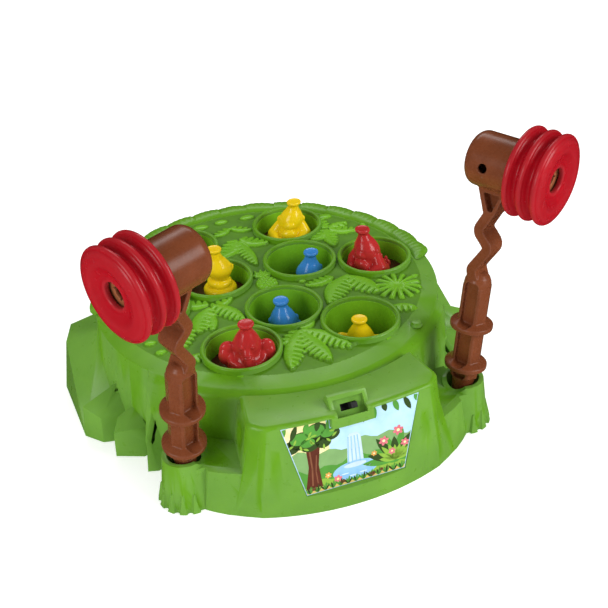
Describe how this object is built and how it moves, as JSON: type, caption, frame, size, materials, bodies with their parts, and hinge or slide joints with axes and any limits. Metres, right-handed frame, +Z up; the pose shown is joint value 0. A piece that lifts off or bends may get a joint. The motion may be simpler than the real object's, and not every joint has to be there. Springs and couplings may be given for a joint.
{
  "type": "jungle animal pounding game",
  "caption": "Green round pounding game with animals in wells that pop up and down on a motor cam, and bellows hammers in side holders.",
  "frame": {"origin": "on the ground under the middle of the round deck, on the base plate's underside", "axes": "+Z up, -Y towards the label side in front, +X to the right seen from the front"},
  "size_m": [0.3094, 0.312, 0.2135],
  "materials": {
    "housing": "satin moulded plastic, leaf green",
    "sleeve": "satin moulded plastic, leaf green",
    "label_print": "printed film, plain jungle pattern",
    "black_plastic": "matt",
    "base_green": "matt",
    "platform_brown": "glossy",
    "red": "glossy",
    "yellow": "glossy",
    "blue": "glossy",
    "bark_brown": "satin moulded plastic, red brown",
    "bellows_soft": "satin soft vinyl, red",
    "catch_brown": "satin, red brown",
    "acetal": "satin white",
    "steel": "zinc plated",
    "cell": "film wrapped cell"
  },
  "bodies": {
    "base": {"top_housing": "housing", "well_sleeves": "sleeve", "label": "label_print", "switch_body": "black_plastic", "base_plate": "base_green", "batteries": "cell", "battery_contacts": "steel", "case_screws": "steel", "disc_axle": "steel", "thrust_washer": "steel", "guide_plate": "black_plastic", "guide_screws": "steel", "guide_grommets": "acetal", "gear_pins": "steel", "gearbox_plate": "black_plastic", "gearbox_screws": "steel", "motor": "steel"},
    "cam": {"cam_disc": "acetal"},
    "output": {"output_gear": "acetal"},
    "reduction": {"first_gear": "acetal"},
    "rotor": {"motor_shaft": "steel", "motor_pinion": "acetal"},
    "switch": {"switch_knob": "black_plastic"},
    "door": {"battery_door": "base_green", "battery_door_screw": "steel"},
    "lifter_ring_1": {"lifter_ring_1": "platform_brown"},
    "red_gorilla": {"red_gorilla": "red"},
    "lifter_ring_2": {"lifter_ring_2": "platform_brown"},
    "yellow_gorilla": {"yellow_gorilla": "yellow"},
    "lifter_ring_3": {"lifter_ring_3": "platform_brown"},
    "red_snake": {"red_snake": "red"},
    "lifter_ring_4": {"lifter_ring_4": "platform_brown"},
    "blue_elephant": {"blue_elephant": "blue"},
    "lifter_ring_5": {"lifter_ring_5": "platform_brown"},
    "red_elephant": {"red_elephant": "red"},
    "lifter_ring_6": {"lifter_ring_6": "platform_brown"},
    "yellow_elephant": {"yellow_elephant": "yellow"},
    "lifter_core_1": {"lifter_core_1": "platform_brown"},
    "blue_snake": {"blue_snake": "blue"},
    "lifter_core_2": {"lifter_core_2": "platform_brown"},
    "yellow_snake": {"yellow_snake": "yellow"},
    "lifter_core_3": {"lifter_core_3": "platform_brown"},
    "blue_gorilla": {"blue_gorilla": "blue"},
    "left_hammer": {"left_hammer_handle": "bark_brown", "left_bellows": "bellows_soft", "left_catch": "catch_brown"},
    "right_hammer": {"right_hammer_handle": "bark_brown", "right_bellows": "bellows_soft", "right_catch": "catch_brown"}
  },
  "joints": [
    {"name": "cam_spin", "type": "hinge", "parent": "base", "child": "cam", "pos_m": [0, 0, 0.01], "axis": [0, 0, 1], "continuous": true},
    {"name": "output_spin", "type": "hinge", "parent": "base", "child": "output", "pos_m": [-0.01267, -0.10322, 0.01], "axis": [0, 0, 1], "continuous": true},
    {"name": "reduction_spin", "type": "hinge", "parent": "base", "child": "reduction", "pos_m": [-0.0158, -0.12095, 0.015], "axis": [0, 0, 1], "continuous": true},
    {"name": "rotor_spin", "type": "hinge", "parent": "base", "child": "rotor", "pos_m": [-0.03944, -0.12512, 0.018], "axis": [0, 0, 1], "continuous": true},
    {"name": "switch_slide", "type": "slide", "parent": "base", "child": "switch", "axis": [1, 0, 0], "range_m": [-0.006, 0]},
    {"name": "door_slide", "type": "slide", "parent": "base", "child": "door", "axis": [0, 0, -1], "range_m": [0, 0.02]},
    {"name": "ring_1_press", "type": "slide", "parent": "base", "child": "lifter_ring_1", "axis": [0, 0, 1], "range_m": [-0.008, 0]},
    {"name": "red_gorilla_lift_out", "type": "slide", "parent": "lifter_ring_1", "child": "red_gorilla", "axis": [0, 0, 1], "range_m": [0, 0.06]},
    {"name": "ring_2_press", "type": "slide", "parent": "base", "child": "lifter_ring_2", "axis": [0, 0, 1], "range_m": [-0.008, 0]},
    {"name": "yellow_gorilla_lift_out", "type": "slide", "parent": "lifter_ring_2", "child": "yellow_gorilla", "axis": [0, 0, 1], "range_m": [0, 0.06]},
    {"name": "ring_3_press", "type": "slide", "parent": "base", "child": "lifter_ring_3", "axis": [0, 0, 1], "range_m": [-0.008, 0]},
    {"name": "red_snake_lift_out", "type": "slide", "parent": "lifter_ring_3", "child": "red_snake", "axis": [0, 0, 1], "range_m": [0, 0.06]},
    {"name": "ring_4_press", "type": "slide", "parent": "base", "child": "lifter_ring_4", "axis": [0, 0, 1], "range_m": [-0.008, 0]},
    {"name": "blue_elephant_lift_out", "type": "slide", "parent": "lifter_ring_4", "child": "blue_elephant", "axis": [0, 0, 1], "range_m": [0, 0.06]},
    {"name": "ring_5_press", "type": "slide", "parent": "base", "child": "lifter_ring_5", "axis": [0, 0, 1], "range_m": [-0.008, 0]},
    {"name": "red_elephant_lift_out", "type": "slide", "parent": "lifter_ring_5", "child": "red_elephant", "axis": [0, 0, 1], "range_m": [0, 0.06]},
    {"name": "ring_6_press", "type": "slide", "parent": "base", "child": "lifter_ring_6", "axis": [0, 0, 1], "range_m": [-0.008, 0]},
    {"name": "yellow_elephant_lift_out", "type": "slide", "parent": "lifter_ring_6", "child": "yellow_elephant", "axis": [0, 0, 1], "range_m": [0, 0.06]},
    {"name": "core_1_press", "type": "slide", "parent": "base", "child": "lifter_core_1", "axis": [0, 0, 1], "range_m": [-0.008, 0]},
    {"name": "blue_snake_lift_out", "type": "slide", "parent": "lifter_core_1", "child": "blue_snake", "axis": [0, 0, 1], "range_m": [0, 0.06]},
    {"name": "core_2_press", "type": "slide", "parent": "base", "child": "lifter_core_2", "axis": [0, 0, 1], "range_m": [-0.008, 0]},
    {"name": "yellow_snake_lift_out", "type": "slide", "parent": "lifter_core_2", "child": "yellow_snake", "axis": [0, 0, 1], "range_m": [0, 0.06]},
    {"name": "core_3_press", "type": "slide", "parent": "base", "child": "lifter_core_3", "axis": [0, 0, 1], "range_m": [-0.008, 0]},
    {"name": "blue_gorilla_lift_out", "type": "slide", "parent": "lifter_core_3", "child": "blue_gorilla", "axis": [0, 0, 1], "range_m": [0, 0.06]},
    {"name": "left_hammer_lift_out", "type": "slide", "parent": "base", "child": "left_hammer", "axis": [0.0256, -0.1675, 0.9855], "range_m": [0, 0.05]},
    {"name": "right_hammer_lift_out", "type": "slide", "parent": "base", "child": "right_hammer", "axis": [0.122, 0.0258, 0.9922], "range_m": [0, 0.05]}
  ],
  "couplings": [
    {"joint": "output_spin", "follows": "cam_spin", "ratio": -7.6667},
    {"joint": "reduction_spin", "follows": "cam_spin", "ratio": 19.933},
    {"joint": "rotor_spin", "follows": "cam_spin", "ratio": -99.667}
  ]
}
